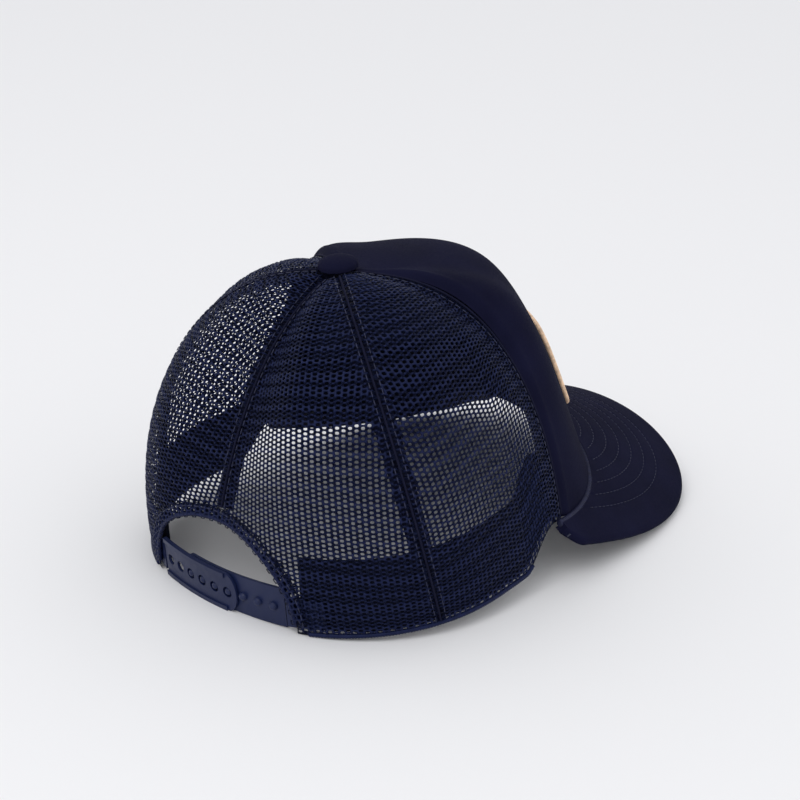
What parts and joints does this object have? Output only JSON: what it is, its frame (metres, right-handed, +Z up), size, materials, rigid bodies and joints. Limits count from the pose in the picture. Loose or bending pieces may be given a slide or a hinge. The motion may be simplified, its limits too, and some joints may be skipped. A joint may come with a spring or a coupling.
{
  "type": "trucker cap",
  "caption": "Baseball-style cap with a foam-backed front panel, open mesh sides and back, a curved visor and a snap-fastened strap across the back opening.",
  "frame": {"origin": "middle of the footprint on the surface that the cap rests on", "axes": "-Y towards the visor, +Y towards the strap, +X to the wearer's left, +Z up"},
  "size_m": [0.189, 0.251, 0.131],
  "materials": {
    "navy_knit": "matt knitted polyester over the foam front and the visor",
    "navy_mesh": "open warp-knitted polyester mesh, slightly shiny",
    "foam": "soft polyurethane foam lining behind the front cover",
    "seam_tape": "woven polyester tape",
    "sweatband_cotton": "dark cotton twill",
    "visor_board_plastic": "flexible polyethylene board",
    "strap_plastic": "semi-matt moulded polyethylene",
    "washer_steel": "plain plated washer",
    "patch_twill": "cream twill, blank",
    "patch_thread": "peach overlocking thread",
    "label_satin": "cream satin, blank"
  },
  "bodies": {
    "crown": {"arch_hem": "navy_mesh", "back_mesh_left": "navy_mesh", "back_mesh_right": "navy_mesh", "button": "navy_knit", "button_washer": "washer_steel", "centre_seam_tape": "seam_tape", "front_panel_cover": "navy_knit", "front_panel_foam": "foam", "front_seam_tape_left": "seam_tape", "front_seam_tape_right": "seam_tape", "hem_binding_left": "seam_tape", "hem_binding_right": "seam_tape", "inner_strap_tab": "strap_plastic", "outer_strap_tab": "strap_plastic", "patch": "patch_twill", "patch_edge": "patch_thread", "side_mesh_left": "navy_mesh", "side_mesh_right": "navy_mesh", "side_seam_tape_left": "seam_tape", "side_seam_tape_right": "seam_tape", "size_label": "label_satin", "sweatband": "sweatband_cotton", "visor_board": "visor_board_plastic", "visor_bottom_cover": "navy_knit", "visor_seam_cord": "navy_knit", "visor_top_cover": "navy_knit"},
    "outer_strap": {"outer_strap": "strap_plastic"},
    "inner_strap": {"inner_strap": "strap_plastic"}
  },
  "joints": [
    {"name": "outer_strap_flex", "type": "hinge", "parent": "crown", "child": "outer_strap", "pos_m": [0.0348, 0.1188, 0.0093], "axis": [0, -0.1167, -0.9932], "range_deg": [0, 60]},
    {"name": "inner_strap_flex", "type": "hinge", "parent": "crown", "child": "inner_strap", "pos_m": [-0.0344, 0.11726, 0.00949], "axis": [0, -0.1167, -0.9932], "range_deg": [0, 30]}
  ]
}
